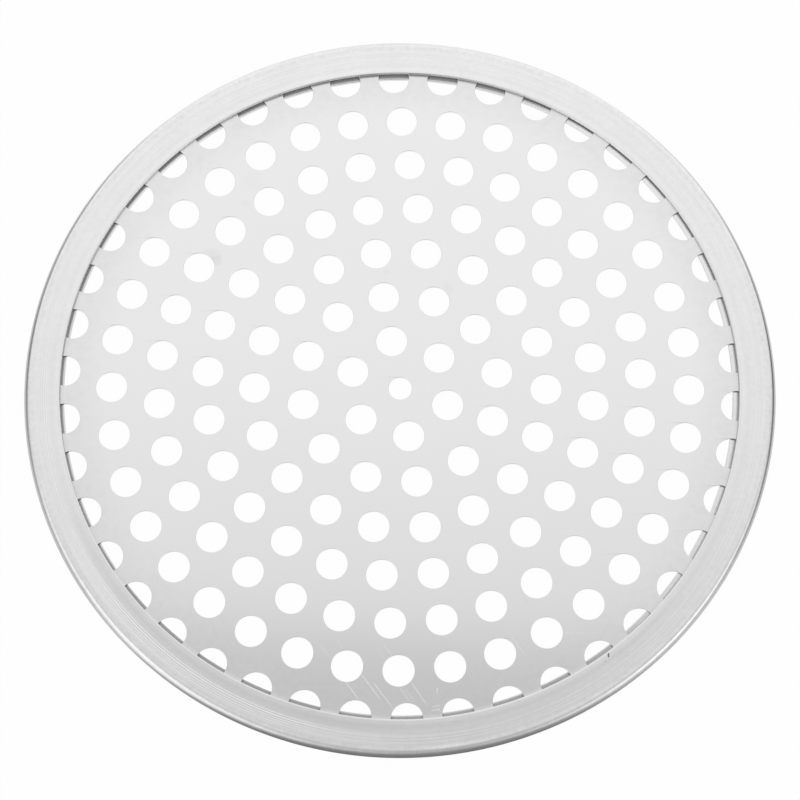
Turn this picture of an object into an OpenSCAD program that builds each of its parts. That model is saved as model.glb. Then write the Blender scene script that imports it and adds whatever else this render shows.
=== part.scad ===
// Perforated pizza pan: a flat punched disc whose edge is crimped into a folded rim.
// The origin is the centre of the face the pan stands on, with +Z up.

/* [Rim] */
// Outside diameter of the rim
rim_d = 304.8; // [200:0.1:450]
// Width of the upper leg, from the outside of the rim to its inner lip
rim_top_w = 14.9; // [9:0.05:20]
// Mean width of the lower leg, from the outside of the rim to its inner lip
rim_bottom_w = 16.7; // [9:0.05:24]
// How far the lower lip lies off the rim's centre, to the right
lower_lip_x = -0.7; // [-1:0.1:1]
// How far the lower lip lies off the rim's centre, to the back
lower_lip_y = 0.6; // [-1:0.1:1]
// Thickness of the strip that the rim is folded from
strip_t = 1.5; // [0.8:0.05:1.8]
// Radius on the edges of both inner lips
lip_r = 0.3; // [0.1:0.05:0.35]
// How far the outer bead stands above the flat of the upper leg
bead_swell = 0.05; // [0.03:0.01:0.6]
// Width of the shallow slope from the top of the bead down to the flat
bead_slope_w = 1.9; // [1.5:0.1:4]
// How much the outer bend's radius gains above and loses below its middle
bend_lean = 0.3; // [0:0.05:0.5]

/* [Disc] */
// Thickness of the punched disc
disc_t = 1; // [0.6:0.05:2]
// Gap left above the disc by the crimp
crimp_gap = 0.3; // [0.02:0.01:0.5]
// Gap between the edge of the disc and the start of the rim's bend
edge_gap = 0.5; // [0.2:0.1:3]

/* [Holes] */
// Diameter of the holes
hole_d = 12.7; // [8:0.1:15]
// Diameter of the single hole in the centre
centre_hole_d = 9.5; // [4:0.1:15]
// Radius of the first ring of holes
first_ring_r = 20.52; // [17:0.01:30]
// Distance from each ring of holes to the next
ring_pitch = 19.32; // [17:0.01:30]
// Holes in the first ring, and how many more each further ring has
ring_step = 6; // [4:1:7]
// Angle of the first hole of the second ring
pattern_turn = 9.6; // [0:0.1:60]
// How far the pattern was punched off the disc's centre, to the right
pattern_x = 0.1; // [-1:0.1:1]
// How far the pattern was punched off the disc's centre, to the back
pattern_y = -0.5; // [-1:0.1:1]
// Least metal between the outermost holes and the edge of the disc
edge_web = 4; // [2:0.5:10]

/* [Hidden] */
$fn = 96;

rim_r = rim_d / 2;

// Heights, from the face the pan stands on
disc_bottom_z = strip_t;
disc_top_z = disc_bottom_z + disc_t;
upper_leg_z = disc_top_z + crimp_gap;
rim_flat_z = upper_leg_z + strip_t;
bead_h = rim_flat_z + bead_swell;

// The outer bend's two radii, which always leave a rounded corner inside
inner_corner_r = 0.1;
lean = min(bend_lean, (disc_t + crimp_gap + bead_swell) / 2 - inner_corner_r);
bend_top_r = bead_h / 2 + lean;
bend_bottom_r = bead_h / 2 - lean;

// Radii, from the outside inwards
crown_r = rim_r - bend_top_r;
foot_r = rim_r - bend_bottom_r;
slope_foot_r = crown_r - bead_slope_w;
disc_r = crown_r - edge_gap;
upper_lip_r = rim_r - rim_top_w;
lower_lip_r = rim_r - rim_bottom_w;

// The lower leg starts this narrow, and its lip is then cut back off the centre
blank_lip_r = lower_lip_r - norm([lower_lip_x, lower_lip_y]) - lip_r;

// Radius of the arc that rises by bead_swell over bead_slope_w
slope_arc_r = (pow(bead_slope_w, 2) + pow(bead_swell, 2)) / (2 * bead_swell);

// As many rings as the disc has room for
ring_count = floor((disc_r - edge_web - hole_d / 2 - first_ring_r) / ring_pitch) + 1;

function ring_r(ring) = first_ring_r + (ring - 1) * ring_pitch;
function holes_in(ring) = ring_step * ring;
// Odd rings are turned by half a space, so that holes don't line up in spokes
function ring_turn(ring) = pattern_turn + (ring % 2 == 1 ? 180 / holes_in(ring) : 0);

// One leg of the channel in section: a flat strip with a rounded lip
module leg_section(lip, outer, z) {
    translate([lip + lip_r, z])
        square([outer - lip - lip_r, strip_t]);
    translate([lip, z + lip_r])
        square([lip_r, strip_t - 2 * lip_r]);
    for (edge_z = [z + lip_r, z + strip_t - lip_r])
        translate([lip + lip_r, edge_z])
            circle(r = lip_r);
}

// Half of the outer bend in section: a quarter of a tube wall
module bend_section(r, lowest) {
    translate([rim_r - r, bend_bottom_r])
        intersection() {
            difference() {
                circle(r = r);
                circle(r = r - strip_t);
            }
            translate([0, lowest])
                square([r, r]);
        }
}

// The top of the bead in section: an arc that falls from the bend to the flat
module slope_section() {
    intersection() {
        difference() {
            translate([crown_r, bead_h - slope_arc_r])
                circle(r = slope_arc_r);
            translate([crown_r, bead_h - slope_arc_r - strip_t])
                circle(r = slope_arc_r);
        }
        translate([slope_foot_r, upper_leg_z])
            square([bead_slope_w, bead_h - upper_leg_z]);
    }
}

// What is cut away to leave the lower leg with a rounded lip
module lower_lip_cut() {
    translate([lower_lip_x, lower_lip_y])
        rotate_extrude()
            difference() {
                translate([0, -disc_t / 2])
                    square([lower_lip_r + lip_r, strip_t + disc_t]);
                leg_section(lower_lip_r, foot_r, 0);
            }
}

module punched_holes() {
    translate([pattern_x, pattern_y]) {
        circle(d = centre_hole_d);
        for (ring = [1 : ring_count], k = [0 : holes_in(ring) - 1])
            rotate(ring_turn(ring) + k * 360 / holes_in(ring))
                translate([ring_r(ring), 0])
                    circle(d = hole_d);
    }
}

module perforated_disc() {
    color([0.84, 0.84, 0.84])
        translate([0, 0, disc_bottom_z])
            linear_extrude(disc_t)
                difference() {
                    circle(r = disc_r);
                    punched_holes();
                }
}

module rim_channel() {
    color([0.78, 0.78, 0.78])
        difference() {
            rotate_extrude() {
                leg_section(blank_lip_r, foot_r, 0);
                leg_section(upper_lip_r, slope_foot_r, upper_leg_z);
                slope_section();
                bend_section(bend_top_r, 0);
                bend_section(bend_bottom_r, -bend_bottom_r);
            }
            lower_lip_cut();
        }
}

perforated_disc();
rim_channel();
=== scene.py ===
# %% [markdown]
# # A perforated pizza pan
#
# The real pan is two pieces of aluminium: a flat disc punched with round holes, and a rim folded
# from a strip into a U and crimped round the disc's edge. The frame brings both at their real
# size, as plain solids. Here each is modelled once more with Blender's own tools, with the
# rounded edges, the slopes finer than a hair and the nick that catch the light. The rest of
# the lesson is about light: bare aluminium has hardly any colour of its own, and what the eye
# reads as metal is the room that it mirrors.

# %% Load the pan
import math

import bmesh
import bpy
from mathutils import Matrix, Vector


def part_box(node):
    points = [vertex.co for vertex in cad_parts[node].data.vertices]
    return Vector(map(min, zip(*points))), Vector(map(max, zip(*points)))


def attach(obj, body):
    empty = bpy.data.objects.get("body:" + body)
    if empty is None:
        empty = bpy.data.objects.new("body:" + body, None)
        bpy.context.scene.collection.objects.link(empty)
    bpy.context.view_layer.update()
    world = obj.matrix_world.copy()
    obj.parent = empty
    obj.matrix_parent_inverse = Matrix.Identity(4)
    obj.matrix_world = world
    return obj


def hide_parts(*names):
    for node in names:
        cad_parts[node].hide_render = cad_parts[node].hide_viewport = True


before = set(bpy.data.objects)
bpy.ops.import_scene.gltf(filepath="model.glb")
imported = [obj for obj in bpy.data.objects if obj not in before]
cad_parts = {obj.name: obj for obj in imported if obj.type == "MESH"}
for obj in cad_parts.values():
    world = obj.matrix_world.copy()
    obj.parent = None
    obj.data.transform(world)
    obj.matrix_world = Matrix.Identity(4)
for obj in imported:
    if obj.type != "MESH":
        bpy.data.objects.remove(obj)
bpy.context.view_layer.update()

MM = 0.001
DISC_LOW, DISC_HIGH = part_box("perforated_disc")
RIM_LOW, RIM_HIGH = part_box("rim_channel")
RIM_R = RIM_HIGH.x
DISC_TOP = DISC_HIGH.z
print("pan", round(2 * RIM_R / MM, 1), "mm across,", round(RIM_HIGH.z / MM, 1), "mm thick")

# %% [markdown]
# ## The camera
#
# The photo is taken from in front and high above, with a long lens, so the round rim shows as a
# slightly flattened ellipse. The holes' rows were used like a chart: their spacing gives the
# camera's height angle, its distance and its lens. Only a camera that looks down at 72 degrees
# from 1.26 m away puts all of them where the photo has them.

# %% Camera
SENSOR = 36.0
LENS = 140.28
LOOK_DOWN = math.radians(72.054)
TILT = math.radians(0.094)
DISTANCE = 1.2647
SHIFT_RIGHT = -0.07 * MM
SHIFT_UP = -4.75 * MM
# The holes were punched this far off the pan's centre, and the camera was fitted to the holes
PATTERN_X = 0.1 * MM
PATTERN_Y = -0.5 * MM

camera_data = bpy.data.cameras.new("camera")
camera_data.sensor_width = SENSOR
camera_data.lens = LENS
camera = bpy.data.objects.new("camera", camera_data)
bpy.context.scene.collection.objects.link(camera)
bpy.context.scene.camera = camera

turn = Matrix.Rotation(math.pi / 2 - LOOK_DOWN, 3, "X") @ Matrix.Rotation(-TILT, 3, "Z")
target = Vector((PATTERN_X, PATTERN_Y, DISC_TOP))
camera.location = target + turn @ Vector((SHIFT_RIGHT, SHIFT_UP, DISTANCE))
camera.rotation_euler = turn.to_euler()
print("camera at", [round(x, 3) for x in camera.location])

# %% [markdown]
# ## Sums as shader nodes
#
# A pattern in a shader is arithmetic on the surface's own coordinates. Written as nodes it soon
# takes a page, so a small class wraps a node's socket and lets Python's own operators add the
# Math nodes. Every other kind of node comes from one method, which takes its settings first and
# then what goes into its sockets.

# %% A socket that can be added, multiplied and faded
class Sum:
    def __init__(self, tree, socket):
        self.tree = tree
        self.socket = socket

    def node(self, kind, settings=None, inputs=None, output=0):
        """Adds a node, sets it up and returns one of its outputs."""
        made = self.tree.nodes.new("ShaderNode" + kind)
        for name, value in (settings or {}).items():
            if name == "stops":
                # A new ramp already has two stops, so only the others are added
                ramp = made.color_ramp
                for place, _ in value[2:]:
                    ramp.elements.new(place)
                for element, (place, grey) in zip(ramp.elements, value):
                    element.position = place
                    element.color = (grey, grey, grey, 1)
            else:
                setattr(made, name, value)
        for name, value in (inputs or {}).items():
            if isinstance(value, Sum):
                self.tree.links.new(value.socket, made.inputs[name])
            else:
                made.inputs[name].default_value = value
        return Sum(self.tree, made.outputs[output] if made.outputs else None)

    def math(self, operation, *values):
        return self.node("Math", {"operation": operation}, dict(enumerate(values)))

    def __add__(self, other):
        return self.math("ADD", self, other)

    def __radd__(self, other):
        return self.math("ADD", other, self)

    def __sub__(self, other):
        return self.math("SUBTRACT", self, other)

    def __rsub__(self, other):
        return self.math("SUBTRACT", other, self)

    def __mul__(self, other):
        return self.math("MULTIPLY", self, other)

    def __rmul__(self, other):
        return self.math("MULTIPLY", other, self)

    def __truediv__(self, other):
        return self.math("DIVIDE", self, other)

    def __pow__(self, other):
        return self.math("POWER", self, other)

    def __abs__(self):
        return self.math("ABSOLUTE", self)

    def sine(self):
        return self.math("SINE", self)

    def most(self, other):
        return self.math("MAXIMUM", self, other)

    def fade(self, start, end, low=0.0, high=1.0):
        """Goes smoothly from low at start to high at end."""
        return self.node(
            "MapRange",
            {"interpolation_type": "SMOOTHSTEP"},
            {"Value": self, "From Min": start, "From Max": end, "To Min": low, "To Max": high},
        )


# %% A tree and its coordinates
def empty_tree(owner):
    """Clears the owner's nodes and returns its tree."""
    owner.use_nodes = True
    owner.node_tree.nodes.clear()
    return Sum(owner.node_tree, None)


def split(vector):
    """The three numbers of a vector."""
    return [vector.node("SeparateXYZ", None, {"Vector": vector}, axis) for axis in range(3)]


def flat_distance(x, y, centre=(0.0, 0.0)):
    """How far a place lies from a centre, whatever its height."""
    x, y = x - centre[0], y - centre[1]
    return (x * x + y * y) ** 0.5


# %% [markdown]
# ## The studio's light
#
# A bright metal is lit by what surrounds it. The photo shows how this studio was arranged: the
# disc mirrors a bright wall behind the pan, which dims towards the near edge because that part
# mirrors the dark gap where the camera stands. The rolled edge of the rim shows two bright
# streaks, from soft boxes left and right of the camera, and dark lines between, from black
# cards. All of it could be built from lamps and boards. The world does it more simply: its
# colour is a sum on the direction that is looked in, and it leaves less noise.

# %% Soft boxes and cards
# Directions run from -1 at the left to 1 at the right, and from -1 in front to 1 behind
# middle, half width, half depth, blur of the edge
LEFT_BOX = ((-0.564, -0.291), 0.331, 0.435, 0.282)
RIGHT_BOX = ((0.621, -0.268), 0.175, 0.283, 0.387)
LEFT_LIGHT = 1.29
RIGHT_LIGHT = 1.96
# edge, lean, share of the wall's light that is taken away
LEFT_CARD = (0.79, 0.30, 0.62)
RIGHT_CARD = (0.757, 0.07, 0.75)
CARD_BLUR = 0.03


def soft_box(across, along, middle, half_across, half_along, blur):
    """1 inside a rectangle of directions, fading to 0 over its edge."""
    near_across = abs(across - middle[0]).fade(half_across + blur, half_across - blur)
    near_along = abs(along - middle[1]).fade(half_along + blur, half_along - blur)
    return near_across * near_along


def side_card(across, along, edge, lean, dark):
    """Dims the wall beyond one of its two ends, which lean in towards the back."""
    return 1 - (across + along * lean).fade(edge - CARD_BLUR, edge + CARD_BLUR) * dark


print("soft boxes", LEFT_LIGHT, "and", RIGHT_LIGHT, "bright")

# %% [markdown]
# ## The wall
#
# A ramp says how bright the room is at each depth, from in front of the pan to behind it. The
# wall is bowed, which bends the ramp, so that the disc dims along a curve and not along a
# straight line. A ramp reads places from 0 to 1 and its colours end at 1, so the depth is
# squeezed into that span, and the brightness is written halved and doubled afterwards.

# %% Room
# depth from -1 in front to 1 behind, and how bright the wall is there
WALL = [
    (-1.0, 0.24),
    (-0.6, 0.47),
    (-0.2, 0.40),
    (0.1, 0.63),
    (0.226, 0.63),
    (0.238, 0.86),
    (0.32, 0.965),
    (0.5, 1.04),
]
WALL_R = 1.58
WALL_SIDE = 0.075
RAMP_TOP = 2.0
BACKDROP = 1.0

world = bpy.data.worlds.new("studio")
bpy.context.scene.world = world
room = empty_tree(world)
side, depth = split(room.node("TexCoord", output="Generated"))[:2]
camera_ray = room.node("LightPath", output="Is Camera Ray")


def on_ramp(value):
    """Brings -1 to 1 into a ramp's 0 to 1."""
    return value * 0.5 + 0.5


bow = ((side - WALL_SIDE) ** 2.0 + WALL_R**2) ** 0.5 - WALL_R
stops = [(on_ramp(place), bright / RAMP_TOP) for place, bright in WALL]
wall = room.node("ValToRGB", {"stops": stops}, {0: on_ramp(depth - bow)}) * RAMP_TOP
wall = wall * side_card(side * -1, depth, *LEFT_CARD)
wall = wall * side_card(side, depth, *RIGHT_CARD)
left_box = soft_box(side, depth, *LEFT_BOX)
right_box = soft_box(side, depth, *RIGHT_BOX)
light = wall * (1 - left_box) + left_box * LEFT_LIGHT
light = light * (1 - right_box) + right_box * RIGHT_LIGHT
light = light * (1 - camera_ray) + camera_ray * BACKDROP
background = room.node("Background", None, {"Color": (1, 1, 1, 1), "Strength": light})
room.node("OutputWorld", None, {"Surface": background})
print("room light from", WALL[0][1], "to", RIGHT_LIGHT)

# %% [markdown]
# ## The table
#
# The photo's background is plain white, and it shows through the holes too. A white table lit
# hard enough to look that white would also flood the metal, so the table glows for the camera
# and for rays that come off shiny surfaces, and only a small share of it is lit by the room,
# which keeps the pan's soft shadow. Where the photographer's dark cards lie, in front of the
# pan and on both sides, the metal sees them instead: they draw the dark line round the rim.

# %% Table
TABLE_SIZE = 12.0
TABLE_GAP = 0.02 * MM
TABLE_GLOW = 0.97
TABLE_PALE = 0.85

bpy.ops.object.select_all(action="DESELECT")
bpy.ops.mesh.primitive_plane_add(size=TABLE_SIZE, location=(0, 0, RIM_LOW.z - TABLE_GAP))
table = bpy.context.active_object
table.name = "table"
paint = bpy.data.materials.new("table_white")
table.data.materials.append(paint)
print("table", TABLE_SIZE, "m square")

# %% What the metal sees of the table
# How bright the cards are, and where one goes over into the next, from -1 in front to 1 behind
CARD_FRONT = 0.21
CARD_SIDE = 0.67
FRONT_TO_SIDE = (-0.987, -0.637)
SIDE_TO_BACK = (0.484, 0.834)
UNDER_PAN = 0.95
UNDER_FROM_R = RIM_R - 1.0 * MM
UNDER_TO_R = RIM_R - 2.0 * MM

top = empty_tree(paint)
x, y = split(top.node("TexCoord", output="Object"))[:2]
from_centre = flat_distance(x, y)
toward_back = y / from_centre
cards = toward_back.fade(*FRONT_TO_SIDE, CARD_FRONT, CARD_SIDE)
cards = cards + toward_back.fade(*SIDE_TO_BACK, 0.0, 1 - CARD_SIDE)
under_pan = from_centre.fade(UNDER_FROM_R, UNDER_TO_R)
mirrored = cards * (1 - under_pan) + under_pan * UNDER_PAN
print("cards from", CARD_FRONT, "to", CARD_SIDE)

# %% Table's paint
camera_ray = top.node("LightPath", output="Is Camera Ray")
glossy_ray = top.node("LightPath", output="Is Glossy Ray")
clear_ray = top.node("LightPath", output="Is Transmission Ray")
seen = camera_ray.most(glossy_ray).most(clear_ray)
grey = mirrored * (1 - camera_ray) + camera_ray
glow_colour = top.node("CombineColor", None, {"Red": grey, "Green": grey, "Blue": grey})
glow = top.node("Emission", None, {"Color": glow_colour, "Strength": 1.0})
matt = top.node("BsdfDiffuse", None, {"Color": (TABLE_PALE, TABLE_PALE, TABLE_PALE, 1)})
mixed = top.node("MixShader", None, {0: seen * TABLE_GLOW, 1: matt, 2: glow})
top.node("OutputMaterial", None, {"Surface": mixed})
print("table paint glows by", TABLE_GLOW)

# %% [markdown]
# ## The punched disc
#
# The real disc is cut from 1 mm sheet, and all its holes are punched at once. A flat curve works
# the same way: one circle is the outline, and every circle inside it is cut out of the fill.
# There is one hole in the centre and then seven rings, each with six more holes than the last.
# Odd rings are turned by half a space, which is what gives the pattern its six slightly
# whirling wings.

# %% Outline and holes
HOLE_R = 6.35 * MM
CENTRE_HOLE_R = 4.75 * MM
FIRST_RING_R = 20.52 * MM
RING_PITCH = 19.32 * MM
RINGS = 7
RING_STEP = 6
PATTERN_TURN = math.radians(9.6)
OUTLINE_STEPS = 64
HOLE_STEPS = 12


def use_only(obj):
    """Selects one object and makes it the one that operators work on."""
    bpy.ops.object.select_all(action="DESELECT")
    obj.select_set(True)
    bpy.context.view_layer.objects.active = obj


def circle(x, y, radius, steps):
    """A round curve that is drawn with this many straight steps in each quarter."""
    bpy.ops.object.select_all(action="DESELECT")
    bpy.ops.curve.primitive_bezier_circle_add(radius=radius, location=(x, y, 0))
    made = bpy.context.active_object
    made.data.splines[0].resolution_u = steps
    return made


disc = circle(0, 0, DISC_HIGH.x, OUTLINE_STEPS)
holes = [circle(PATTERN_X, PATTERN_Y, CENTRE_HOLE_R, HOLE_STEPS)]
for ring in range(1, RINGS + 1):
    count = RING_STEP * ring
    ring_r = FIRST_RING_R + (ring - 1) * RING_PITCH
    first = PATTERN_TURN + (math.pi / count if ring % 2 else 0)
    for k in range(count):
        angle = first + k * 2 * math.pi / count
        hole_x = PATTERN_X + ring_r * math.cos(angle)
        hole_y = PATTERN_Y + ring_r * math.sin(angle)
        holes.append(circle(hole_x, hole_y, HOLE_R, HOLE_STEPS))

use_only(disc)
for hole in holes:
    hole.select_set(True)
bpy.ops.object.transform_apply(location=True)
bpy.ops.object.join()
print("disc with", len(holes), "holes")

# %% [markdown]
# ## From curve to sheet
#
# A punch leaves no knife edge: the sheet rolls over slightly before it shears. The curve's own
# bevel draws that small round on every edge at once, and its offset keeps the holes at their
# nominal size. Once the curve is a mesh, its caps and its walls are joined into one skin.

# %% Thickness and rounded edges
EDGE_ROUND = 0.12 * MM
SAME_PLACE = 0.001 * MM

flat = disc.data
flat.dimensions = "2D"
flat.fill_mode = "BOTH"
flat.extrude = (DISC_HIGH.z - DISC_LOW.z) / 2 - EDGE_ROUND
flat.bevel_depth = EDGE_ROUND
flat.bevel_resolution = 1
flat.offset = -EDGE_ROUND
bpy.ops.object.convert(target="MESH")
disc = bpy.context.active_object
disc.name = "punched_disc"

bpy.ops.object.mode_set(mode="EDIT")
bpy.ops.mesh.select_all(action="SELECT")
bpy.ops.mesh.remove_doubles(threshold=SAME_PLACE)
bpy.ops.mesh.normals_make_consistent(inside=False)
bpy.ops.transform.translate(value=(0, 0, (DISC_HIGH.z + DISC_LOW.z) / 2))
bpy.ops.object.mode_set(mode="OBJECT")
print("disc has", len(disc.data.polygons), "faces")

# %% [markdown]
# ## Flats that shade flat
#
# Smooth shading blends the normals of neighbouring faces, so a small round would pull a shadow
# far into the flat beside it. In a mirror that shows at once. The level faces are therefore
# marked as strong, and a weighted normal modifier lets them rule the normals along their edges.

# %% Shading
SMOOTH_ANGLE = math.radians(50)
# How upright the normal of a level face is
LEVEL = 0.99999


def smooth(obj):
    """Shades the rounds smooth and lets the flats rule the normals along their edges."""
    use_only(obj)
    bpy.ops.object.shade_smooth_by_angle(angle=SMOOTH_ANGLE)
    bpy.ops.object.mode_set(mode="EDIT")
    bpy.ops.mesh.select_mode(type="FACE")
    bpy.ops.mesh.select_all(action="SELECT")
    bpy.ops.mesh.mod_weighted_strength(set=True, face_strength="WEAK")
    bpy.ops.mesh.select_all(action="DESELECT")
    mesh = bmesh.from_edit_mesh(obj.data)
    for face in mesh.faces:
        face.select = abs(face.normal.z) > LEVEL
    mesh.select_flush_mode()
    bmesh.update_edit_mesh(obj.data)
    bpy.ops.mesh.mod_weighted_strength(set=True, face_strength="STRONG")
    bpy.ops.object.mode_set(mode="OBJECT")
    weighted = obj.modifiers.new("weighted", "WEIGHTED_NORMAL")
    weighted.keep_sharp = True
    weighted.use_face_influence = True
    bpy.ops.object.modifier_apply(modifier=weighted.name)


smooth(disc)
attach(disc, "root")
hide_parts("perforated_disc")
print("disc shaded,", round((DISC_HIGH.z - DISC_LOW.z) / MM, 2), "mm thick")

# %% [markdown]
# ## The rim's section
#
# The rim starts as a flat strip that a roller folds over the disc's edge. In section it is a
# U that lies on its side, and here it is drawn in the same order: start at the upper lip, pull
# the strip's end outwards, rise over the bead, spin round the two halves of the outer bend, and
# run back in underneath. The inner lip rolls down by 0.012 mm, the leg's outer half rises by
# 0.035 mm and the bead by 0.02 mm more, all together less than a hair. A mirror doubles every
# angle, so even these gentle slopes draw the lighter lines and bands round the pan.

# %% The strip's first piece
STRIP = 1.5 * MM
UPPER_LIP_R = 137.6 * MM
LOWER_LIP_R = 135.7 * MM
ROLL = 0.012 * MM
ROLL_W = 0.8 * MM
BEAD_RISE = 0.02 * MM
BEAD_W = 1.3 * MM
OUTER_RISE = 0.035 * MM
OUTER_FROM_R = 143.2 * MM
OUTER_TO_R = 147.9 * MM
# How much the bend's radius gains above and loses below its middle
LEAN = 0.3 * MM

BEAD_TOP = RIM_HIGH.z
FLAT_Z = BEAD_TOP - BEAD_RISE - OUTER_RISE
TOP_R = BEAD_TOP / 2 + LEAN
BOTTOM_R = BEAD_TOP / 2 - LEAN
CROWN_R = RIM_R - TOP_R
FOOT_R = RIM_R - BOTTOM_R
BEAD_FOOT_R = CROWN_R - BEAD_W

bpy.ops.object.select_all(action="DESELECT")
bpy.ops.mesh.primitive_plane_add(size=1, rotation=(math.pi / 2, 0, 0))
rim = bpy.context.active_object
rim.name = "folded_rim"
bpy.ops.object.transform_apply(rotation=True)
rim.scale = (ROLL_W, 1, STRIP)
rim.location = (UPPER_LIP_R + ROLL_W / 2, 0, FLAT_Z - STRIP / 2)
bpy.ops.object.transform_apply(location=True, scale=True)
print("strip", STRIP / MM, "mm thick, upper leg", round((RIM_R - UPPER_LIP_R) / MM, 1), "mm wide")

# %% Strip, bead and bend
OUTER_STEPS = 4
BEAD_STEPS = 10
TOP_STEPS = 14
BOTTOM_STEPS = 12


def select_edges(obj, test):
    """Selects the edges whose two ends both pass the test, and counts them."""
    bpy.ops.mesh.select_all(action="DESELECT")
    mesh = bmesh.from_edit_mesh(obj.data)
    chosen = [edge for edge in mesh.edges if all(test(end.co) for end in edge.verts)]
    for edge in chosen:
        edge.select = True
    mesh.select_flush_mode()
    bmesh.update_edit_mesh(obj.data)
    return len(chosen)


def pull(outwards, up=0.0):
    """Draws the selected end of the strip on."""
    bpy.ops.mesh.extrude_region_move(TRANSFORM_OT_translate={"value": (outwards, 0, up)})


bpy.ops.object.mode_set(mode="EDIT")
bpy.ops.mesh.select_mode(type="EDGE")
select_edges(rim, lambda place: place.x < UPPER_LIP_R + ROLL_W / 2)
bpy.ops.transform.translate(value=(0, 0, -ROLL))
select_edges(rim, lambda place: place.x > UPPER_LIP_R + ROLL_W / 2)
pull(OUTER_FROM_R - UPPER_LIP_R - ROLL_W)
for step in range(OUTER_STEPS):
    pull((OUTER_TO_R - OUTER_FROM_R) / OUTER_STEPS, OUTER_RISE / OUTER_STEPS)
pull(BEAD_FOOT_R - OUTER_TO_R)
last = 0.0
for step in range(1, BEAD_STEPS + 1):
    part = step / BEAD_STEPS
    rise = BEAD_RISE * part**2 * (3 - 2 * part)
    pull(BEAD_W / BEAD_STEPS, rise - last)
    last = rise
quarter = -math.pi / 2
across = (0, 1, 0)
bpy.ops.mesh.spin(
    steps=TOP_STEPS, angle=quarter, center=(CROWN_R, 0, BEAD_TOP - TOP_R), axis=across
)
bpy.ops.mesh.spin(steps=BOTTOM_STEPS, angle=quarter, center=(FOOT_R, 0, BOTTOM_R), axis=across)
pull(LOWER_LIP_R - FOOT_R)
print("section drawn, outer bend", round(RIM_R / MM, 1), "mm from the axis")

# %% [markdown]
# ## Round the pan
#
# Only the section's outline is kept, and one full turn about the pan's axis makes the rim. The
# four corners of the two lips are then rounded, as a sheared and deburred strip is.

# %% Full turn
TURN_STEPS = 360
LIP_ROUND = 0.3 * MM
LIP_ROUND_STEPS = 3
NEAR = 0.01 * MM


def from_axis(place):
    return (place.x**2 + place.y**2) ** 0.5


def lip_corner(place):
    """True on the four sharp circles of the two lips."""
    upper = abs(from_axis(place) - UPPER_LIP_R) < NEAR
    lower = abs(from_axis(place) - LOWER_LIP_R) < NEAR
    return (upper and place.z > BEAD_TOP / 2) or (lower and place.z < BEAD_TOP / 2)


bpy.ops.mesh.select_all(action="SELECT")
bpy.ops.mesh.region_to_loop()
bpy.ops.mesh.select_all(action="INVERT")
bpy.ops.mesh.delete(type="EDGE_FACE")
bpy.ops.mesh.select_all(action="SELECT")
bpy.ops.mesh.spin(
    steps=TURN_STEPS, angle=2 * math.pi, center=(0, 0, 0), axis=(0, 0, 1), use_auto_merge=True
)
bpy.ops.mesh.select_all(action="SELECT")
bpy.ops.mesh.remove_doubles(threshold=SAME_PLACE)
bpy.ops.mesh.normals_make_consistent(inside=False)
print("rounding", select_edges(rim, lip_corner), "edges")
bpy.ops.mesh.bevel(offset=LIP_ROUND, segments=LIP_ROUND_STEPS, profile=0.5, affect="EDGES")

# %% [markdown]
# ## Lips off the centre
#
# Folding is never quite even. On this pan the lower lip lies three quarters of a millimetre off
# the centre, so it shows more in the holes on one side than on the other. The upper lip is off
# by a third of that. Each lip is moved sideways as a whole, and the leg behind it takes up the
# difference.

# %% Move the two lips
LOWER_LIP_OFF = (-0.66 * MM, 0.38 * MM, 0)
UPPER_LIP_OFF = (-0.16 * MM, 0.17 * MM, 0)


def move_lip(lip_r, is_side, offset):
    """Moves the rounded end of one leg sideways."""
    reach = lip_r + LIP_ROUND + NEAR
    select_edges(rim, lambda place: from_axis(place) < reach and is_side(place.z))
    bpy.ops.transform.translate(value=offset)
    print("lip moved by", round(math.hypot(*offset) / MM, 2), "mm")


move_lip(LOWER_LIP_R, lambda z: z < BEAD_TOP / 2, LOWER_LIP_OFF)
move_lip(UPPER_LIP_R, lambda z: z > BEAD_TOP / 2, UPPER_LIP_OFF)
bpy.ops.object.mode_set(mode="OBJECT")

# %% [markdown]
# ## A nick
#
# Something hard once hit the rim at the front right and left a nick as long as a grain of rice
# is thick, with a shallow dent beside it. A stretched ball, pressed into the rim and cut away,
# leaves the same smooth hollow. It is cut before the shading is worked out, so that the flat
# round it stays flat.

# %% Nick in the rim
NICKS = [
    # middle, half width, half length, depth
    ((82.05 * MM, -111.95 * MM), 0.34 * MM, 0.95 * MM, 0.30 * MM),
    ((80.95 * MM, -114.4 * MM), 0.24 * MM, 0.32 * MM, 0.08 * MM),
]

for middle, half_width, half_length, deep in NICKS:
    bpy.ops.object.select_all(action="DESELECT")
    bpy.ops.mesh.primitive_ico_sphere_add(subdivisions=3, radius=1, location=(*middle, FLAT_Z))
    ball = bpy.context.active_object
    ball.scale = (half_width, half_length, deep)
    bpy.ops.object.transform_apply(location=True, scale=True)
    hollow = rim.modifiers.new("nick", "BOOLEAN")
    hollow.operation = "DIFFERENCE"
    hollow.solver = "EXACT"
    hollow.object = ball
    use_only(rim)
    bpy.ops.object.modifier_apply(modifier=hollow.name)
    use_only(ball)
    bpy.ops.object.delete()

smooth(rim)
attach(rim, "root")
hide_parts("rim_channel")
print("rim has", len(rim.data.polygons), "faces and", len(NICKS), "nicks")

# %% [markdown]
# ## Aluminium sheet
#
# The disc is cold-rolled sheet, as it comes from the mill: smooth, and almost a mirror. It has
# no pattern of its own, so what shows is handling. A scratch is a rough line in a smooth face.
# It mirrors the bright wall from wherever the pan is turned, so it shows as a light line where
# the face around it mirrors something darker, which here is only near the front edge.

# %% Marks
# The share of a scratch's length over which each end fades
SCRATCH_END = 0.25
# The shares of a smudge's radius from which and to which it fades
SMUDGE_CORE = 0.4
SMUDGE_EDGE = 1.1


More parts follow.
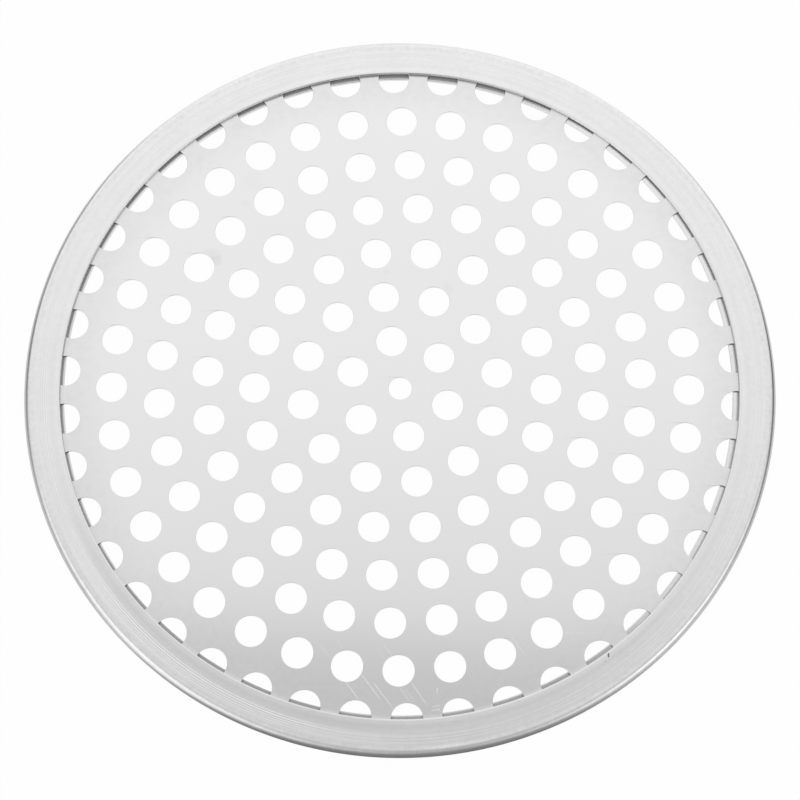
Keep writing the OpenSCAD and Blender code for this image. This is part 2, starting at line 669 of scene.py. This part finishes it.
def scratch(x, y, start, end, width):
    """1 along a straight line between two places, fading over its width and at its ends."""
    run_x, run_y = end[0] - start[0], end[1] - start[1]
    length = math.hypot(run_x, run_y)
    run_x, run_y = run_x / length, run_y / length
    along = (x - start[0]) * run_x + (y - start[1]) * run_y
    across = abs((y - start[1]) * run_x - (x - start[0]) * run_y)
    end_l = SCRATCH_END * length
    ends = along.fade(0.0, end_l) * along.fade(length, length - end_l)
    return across.fade(width, 0.0) * ends


def smudge(x, y, middle, radius, ragged):
    """1 in the middle of a stain and 0 outside it, with an edge as ragged as the noise."""
    distance = flat_distance(x, y, middle) + ragged * radius
    return distance.fade(radius * SMUDGE_EDGE, radius * SMUDGE_CORE)


print("smudges fade out from", SMUDGE_CORE, "to", SMUDGE_EDGE, "of their radius")

# %% [markdown]
# ## Where the disc is marked
#
# Knives and slices left scratches near the front edge, and a few smudges lie on the back half,
# most of them at the left. Their places are written in millimetres from the pan's centre, and
# each kind is added up in one mask. A fine noise makes the smudges' edges ragged.

# %% Scratches and smudges
CLOUDS_PER_M = 22.0
SPOTS_PER_M = 320.0
SCRATCH_W = 0.36
SCRATCHES = [
    # from, to, strength; places in millimetres
    ((-22.2, -121.2), (-16.0, -129.8), 0.9),
    ((-16.4, -117.7), (-7.2, -130.2), 1.0),
    ((-11.2, -121.6), (-2.6, -133.2), 1.0),
    ((-0.9, -123.2), (3.8, -130.4), 0.45),
    ((1.6, -124.6), (5.2, -129.5), 0.45),
    ((3.6, -121.3), (10.6, -131.8), 0.8),
    ((-7.4, -106.0), (-3.0, -112.0), 0.5),
    ((-9.9, -107.8), (-6.1, -113.2), 0.4),
    ((-33.5, -105.4), (-26.6, -113.4), 0.35),
    ((-25.3, -104.0), (-22.6, -109.2), 0.4),
    ((39.2, -96.7), (50.0, -112.6), 0.85),
    ((47.5, -84.0), (51.0, -91.0), 0.35),
    ((14.4, -124.2), (14.5, -126.6), 1.6),
    ((11.9, -132.2), (15.8, -131.6), 0.9),
    ((11.9, -133.7), (16.1, -133.1), 0.9),
    ((87.0, -107.7), (89.2, -109.2), 0.5),
]
SMUDGE_RAGGED = 1.6
SMUDGES = [
    # middle, radius, strength; in millimetres
    ((-77.3, 58.0), 3.6, 1.0),
    ((-75.4, 54.6), 3.0, 1.2),
    ((-5.2, 50.0), 1.6, 0.5),
    ((19.6, 42.3), 3.2, 0.6),
    ((-61.0, 90.0), 5.0, 0.35),
    ((-97.0, 76.0), 6.0, 0.35),
    ((-64.0, 80.5), 2.0, 0.4),
]


def noise(place, per_metre, detail):
    """Cloudy grey about 0.5, with about this many clouds in a metre."""
    inputs = {"Vector": place, "Scale": per_metre, "Detail": detail}
    return place.node("TexNoise", None, inputs, "Fac")


sheet_metal = bpy.data.materials.new("aluminium_sheet")
sheet = empty_tree(sheet_metal)
place = sheet.node("TexCoord", output="Object")
x, y, z = split(place)
x_mm, y_mm = x * (1 / MM), y * (1 / MM)
cloud = noise(place, CLOUDS_PER_M, 4.0)
spots = noise(place, SPOTS_PER_M, 4.0)

scratched = 0
for start, end, strength in SCRATCHES:
    scratched = scratch(x_mm, y_mm, start, end, SCRATCH_W) * strength + scratched
ragged = (spots - 0.5) * SMUDGE_RAGGED
stains = 0
for middle, radius, strength in SMUDGES:
    stains = smudge(x_mm, y_mm, middle, radius, ragged) * strength + stains
print(len(SCRATCHES), "scratches and", len(SMUDGES), "smudges")

# %% [markdown]
# ## The disc's finish
#
# The disc is a little darker towards the rim, on the sides and at the back, with small dark
# specks.
# A ring right beside the rim is duller, and the walls of the outermost holes, in the gap under
# the rim's lip, carry a painted shade. The rest is nearly even, with clouds so faint that they
# only keep it from looking painted.

# %% Near the rim
SPECK_OVER = 0.42
SPECKS_FROM_R = 112.0 * MM
SPECKS_TO_R = 136.0 * MM
# The disc grows darker between these radii, on the sides and at the back
DARKER_FROM_R = 118.0 * MM
DARKER_TO_R = 137.0 * MM
# From -1 at the front to 1 at the back
DARKER_PLACES = (-0.9, -0.3)
DULL_FROM_R = 135.4 * MM
DULL_TO_R = 137.4 * MM
# Painted shade: the walls of the outermost holes, in the gap under the rim's lip, are darkened
HOLE_WALL_SHADE_FROM_R = 135.0 * MM
HOLE_WALL_SHADE_TO_R = 136.5 * MM
HOLE_WALL_SHADE_FROM_Z = DISC_TOP - 0.08 * MM
HOLE_WALL_SHADE_TO_Z = DISC_TOP - 0.25 * MM

from_centre = flat_distance(x, y)
specks = from_centre.fade(SPECKS_FROM_R, SPECKS_TO_R) * (spots - SPECK_OVER).most(0.0)
# Darker towards the rim, except at the front
darker_near_rim = from_centre.fade(DARKER_FROM_R, DARKER_TO_R)
darker_near_rim = darker_near_rim * (y / from_centre).fade(*DARKER_PLACES)
dull = from_centre.fade(DULL_FROM_R, DULL_TO_R)
hole_wall_shade = from_centre.fade(HOLE_WALL_SHADE_FROM_R, HOLE_WALL_SHADE_TO_R) * z.fade(HOLE_WALL_SHADE_FROM_Z, HOLE_WALL_SHADE_TO_Z)
print("darker from", round(DARKER_FROM_R / MM), "mm outwards")

# %% Disc finish
SHEET_GREY = 0.83
SHEET_ROUGH = 0.08
CLOUD_SHARE = 0.02
STAIN_DARK = 0.045
STAIN_ROUGH = 0.04
SCRATCH_ROUGH = 0.40
SPECK_DARK = 0.12
DARKER_NEAR_RIM = 0.052
DULL_ROUGH = 0.14
HOLE_WALL_SHADE_DARK = 0.7
SHEET_BUMP = 0.004 * MM


def metal(owner, base, roughness, normal, bare=1.0):
    """Joins up a metal surface, which a stain makes less bare."""
    surface = owner.node(
        "BsdfPrincipled",
        None,
        {"Base Color": base, "Metallic": bare, "Roughness": roughness, "Normal": normal},
    )
    owner.node("OutputMaterial", None, {"Surface": surface})


def shade(owner, value):
    """A neutral colour of this brightness."""
    return owner.node("CombineColor", None, {"Red": value, "Green": value, "Blue": value})


tone = SHEET_GREY + (cloud - 0.5) * CLOUD_SHARE - stains * STAIN_DARK - specks * SPECK_DARK
# The painted shade on the outer hole walls darkens the tone here
tone = (tone - darker_near_rim * DARKER_NEAR_RIM) * (1 - hole_wall_shade * HOLE_WALL_SHADE_DARK)
rough = SHEET_ROUGH + (cloud - 0.5) * CLOUD_SHARE + stains * STAIN_ROUGH
rough = rough + scratched * SCRATCH_ROUGH + dull * DULL_ROUGH
bump = sheet.node("Bump", None, {"Height": cloud, "Strength": 1.0, "Distance": SHEET_BUMP})
metal(sheet, shade(sheet, tone), rough, bump)
disc.data.materials.clear()
disc.data.materials.append(sheet_metal)
print("disc finish, grey", SHEET_GREY, "and roughness", SHEET_ROUGH)

# %% [markdown]
# ## Rolled aluminium
#
# The rim was turned against a roller, which left fine lines round it. Noise that is looked up
# by the distance from the centre draws each line as a ring, and slower noise lets the lines
# come and go. The outer bend has met every rack and shelf, so it gets more scuffs and small
# dents than the flat.

# %% Turning lines, scuffs and dents
BEND_FROM_R = 148.0 * MM
BEND_TO_R = 148.6 * MM
DENTS_FROM_R = 148.6 * MM
DENTS_TO_R = 150.8 * MM
FLAT_DENTS = 2.0
BEND_DENTS = 12.0
LINES_PER_M = 1000.0
BANDS_PER_M = 260.0
# Noise under which the lines are faint and over which they are whole, and how strong they then are
COME_AND_GO = (0.36, 0.62, 0.3, 1.0)

strip_metal = bpy.data.materials.new("aluminium_strip")
strip = empty_tree(strip_metal)
place = strip.node("TexCoord", output="Object")
x, y, z = split(place)
radius = flat_distance(x, y)


def rings(per_metre, detail):
    """Noise that is the same all round the pan, so that each of its waves is a ring."""
    return strip.node(
        "TexNoise",
        {"noise_dimensions": "1D"},
        {"W": radius, "Scale": per_metre, "Detail": detail},
        "Fac",
    )


lines = rings(LINES_PER_M, 5.0)
bands = rings(BANDS_PER_M, 2.0)
come_and_go = noise(place, 28.0, 3.0).fade(*COME_AND_GO)
mottle = noise(place, 95.0, 4.0)
scuffs = noise(place, 480.0, 4.0)
bend = radius.fade(BEND_FROM_R, BEND_TO_R)
dents = radius.fade(DENTS_FROM_R, DENTS_TO_R) * BEND_DENTS + FLAT_DENTS
dents = (noise(place, 50.0, 2.0) - 0.5) * dents
print("bend from", round(BEND_FROM_R / MM, 1), "mm outwards")

# %% [markdown]
# ## Where the roller chattered
#
# At the front left the roller shook and left a group of coarser lines, about a millimetre
# apart, that die out towards the bend. They go on faintly round the left. A sine of the distance
# from the centre draws them. The whole patch is a shade darker than the rest of the rim, but for
# the leg's outer half, which is a shade brighter.

# %% Chatter
CHATTER_AT = math.radians(237)
FAINT_AT = math.radians(190)
FAINT_SHARE = 0.3
# Where each begins and is whole, as the cosine of the angle from its middle
CHATTER_SPAN = (0.90, 0.975)
FAINT_SPAN = (0.93, 0.985)
PATCH_SPAN = (0.76, 0.94)
CHATTER_WAVE = 0.93 * MM
CHATTER_CREST_R = 143.4 * MM
CHATTER_STARTS = (142.9 * MM, 143.2 * MM)
CHATTER_DIES = (148.2 * MM, 144.6 * MM)
OUTER_HALF = (142.7 * MM, 143.1 * MM)


def toward(angle):
    """1 on the side of the pan at this angle, and -1 on the side across from it."""
    return (x * math.cos(angle) + y * math.sin(angle)) / radius


chatter_side = toward(CHATTER_AT)
front_left = chatter_side.fade(*CHATTER_SPAN)
chatter = front_left + toward(FAINT_AT).fade(*FAINT_SPAN) * FAINT_SHARE
chatter = chatter * radius.fade(*CHATTER_STARTS) * radius.fade(*CHATTER_DIES)
waves = (radius - CHATTER_CREST_R) * (2 * math.pi / CHATTER_WAVE) + math.pi / 2
waves = waves.sine() * chatter
patch = chatter_side.fade(*PATCH_SPAN)
outer_half = radius.fade(*OUTER_HALF) * (1 - bend)
print("chatter lines every", round(CHATTER_WAVE / MM, 2), "mm")

# %% [markdown]
# ## Lips and the painted shade under them
#
# The upper lip was sheared and never polished, so its face is paler and rougher than the flat.
# Below it, in the gap round the disc, the lower leg is painted darker as a painted shade, and all
# round except at the right this painted shade reaches almost to the lip's edge. The nicks' hollows
# get a painted shade too. These places are made less metallic, so they lose some of their mirror
# as well as their brightness.

# %% Lip, painted shade in the gap and in the nicks
UNSHADED_AT = math.radians(10)
# Again the cosine of the angle, from where there is no painted shade to where there is
UNSHADED_SPAN = (0.68, 0.35)
LIP_DEEP = 0.25 * MM
LIP_EDGE = 0.05 * MM
LIP_TOP = (FLAT_Z - 0.75 * MM, FLAT_Z - 0.3 * MM)
GAP_SHADE_NEAR = (0.25 * MM, 0.9 * MM)
GAP_SHADE_DEEP = (1.1 * MM, 2.6 * MM)
# At the front left the painted shade comes this much nearer to the edge
GAP_SHADE_SPREAD = 0.4 * MM
NICK_SHADE_SIZE = 1.4
NICK_SHADE_Z = (FLAT_Z - 0.02 * MM, FLAT_Z - 0.10 * MM)

on_top = z.fade(*LIP_TOP)
above_leg = z.fade(STRIP, BEAD_TOP / 2)
from_upper = flat_distance(x, y, UPPER_LIP_OFF) - UPPER_LIP_R
lip_face = from_upper.fade(LIP_DEEP, LIP_EDGE) * (1 - on_top) * above_leg

from_lower = flat_distance(x, y, LOWER_LIP_OFF) - LOWER_LIP_R
shaded_sides = toward(UNSHADED_AT).fade(*UNSHADED_SPAN)
# Painted shade: the lower leg is darkened in the gap under the upper leg
gap_shade = shaded_sides * (from_lower + front_left * GAP_SHADE_SPREAD).fade(*GAP_SHADE_NEAR)
gap_shade = gap_shade.most(from_lower.fade(*GAP_SHADE_DEEP)) * z.fade(BEAD_TOP / 2, STRIP)

# Painted shade in the hollows of the nicks, which are also made less metallic
nick_shade = 0
for middle, _, half_length, _ in NICKS:
    nick_shade = smudge(x, y, middle, half_length * NICK_SHADE_SIZE, 0.0) + nick_shade
nick_shade = nick_shade * z.fade(*NICK_SHADE_Z)
print("residue from", round(GAP_SHADE_NEAR[0] / MM, 2), "mm behind the lower lip")

# %% [markdown]
# ## The rim's finish
#
# All the masks come together in three sums: how bright, how rough and how high the surface is.
# The shares are small, because a mirror shows a change of a few hundredths. The bump is 0.01 mm
# for a whole step of height.

# %% Rim finish
STRIP_GREY = 0.815
LIP_GREY = 0.88
GAP_SHADE_GREY = 0.50
FLAT_ROUGH = 0.155
BEND_ROUGH = 0.23
LIP_ROUGH = 0.12
GAP_SHADE_ROUGH = 0.3
LINE_ROUGH = 0.05
LINE_SHARE = 0.12
BAND_SHARE = 0.06
MOTTLE_SHARE = 0.06
FLAT_SCUFFS = 0.08
BEND_SCUFFS = 0.12
WAVE_SHARE = 0.13
PATCH_DARK = 0.04
OUTER_BRIGHT = 0.09
NICK_SHADE_DARK = 0.75
GAP_SHADE_COVER = 0.6
BAND_HEIGHT = 2.0
SCUFF_HEIGHT = 0.3
WAVE_HEIGHT = 0.3
STRIP_BUMP = 0.01 * MM

tone = STRIP_GREY + (lines - 0.5) * come_and_go * LINE_SHARE + (bands - 0.5) * BAND_SHARE
tone = tone + (mottle - 0.5) * MOTTLE_SHARE + (scuffs - 0.5) * (bend * BEND_SCUFFS + FLAT_SCUFFS)
tone = tone + waves * WAVE_SHARE + patch * (outer_half * OUTER_BRIGHT - PATCH_DARK)
# Below, the painted shade in the gap under the upper leg and then the painted shade in the nicks
# darken the tone
tone = tone - lip_face * (STRIP_GREY - LIP_GREY) - gap_shade * (STRIP_GREY - GAP_SHADE_GREY)
tone = tone * (1 - nick_shade * NICK_SHADE_DARK)

rough = FLAT_ROUGH + bend * (BEND_ROUGH - FLAT_ROUGH) + (lines - 0.5) * LINE_ROUGH
rough = rough + lip_face * LIP_ROUGH + gap_shade * GAP_SHADE_ROUGH

ridges = lines * come_and_go + bands * BAND_HEIGHT + scuffs * SCUFF_HEIGHT
ridges = ridges + waves * WAVE_HEIGHT + dents
bump = strip.node("Bump", None, {"Height": ridges, "Strength": 1.0, "Distance": STRIP_BUMP})
metal(strip, shade(strip, tone), rough, bump, 1 - gap_shade * GAP_SHADE_COVER - nick_shade)
rim.data.materials.clear()
rim.data.materials.append(strip_metal)
print("rim finish, roughness", FLAT_ROUGH, "to", BEND_ROUGH)

# %% [markdown]
# ## Last steps
#
# The picture keeps the colours as they are written, without a film look.

# %% Finish
bpy.context.scene.view_settings.view_transform = "Standard"
